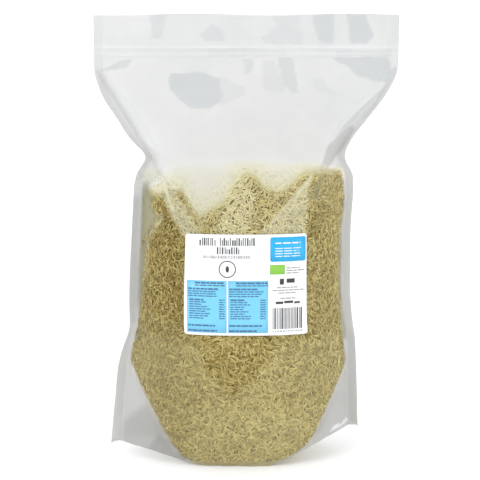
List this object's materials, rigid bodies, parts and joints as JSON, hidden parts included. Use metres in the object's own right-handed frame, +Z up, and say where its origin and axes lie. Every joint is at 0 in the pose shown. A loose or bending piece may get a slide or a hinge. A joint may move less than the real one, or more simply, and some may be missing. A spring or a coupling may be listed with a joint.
{
  "type": "stand-up pouch of rice",
  "caption": "Closed stand-up pouch of clear film with a zip, full of long-grain white rice, with a plain white label on its front; it stands on its own flat base.",
  "frame": {"origin": "middle of the box on the plane that the pouch stands on", "axes": "+Z up along the height, X across the width with the label's left edge at -X, -Y out of the front that carries the label"},
  "size_m": [0.3, 0.1488, 0.442],
  "materials": {
    "clear_film": "milky clear glossy film with a zip, nearly white where the bag is empty",
    "rice_in_film": "straw-coloured long grains pressed against clear glossy film",
    "label_paper": "smooth coated label paper with pale blue, mid blue and green printed fields"
  },
  "bodies": {
    "root": {"pouch": "clear_film", "rice": "rice_in_film", "label": "label_paper"}
  },
  "joints": []
}
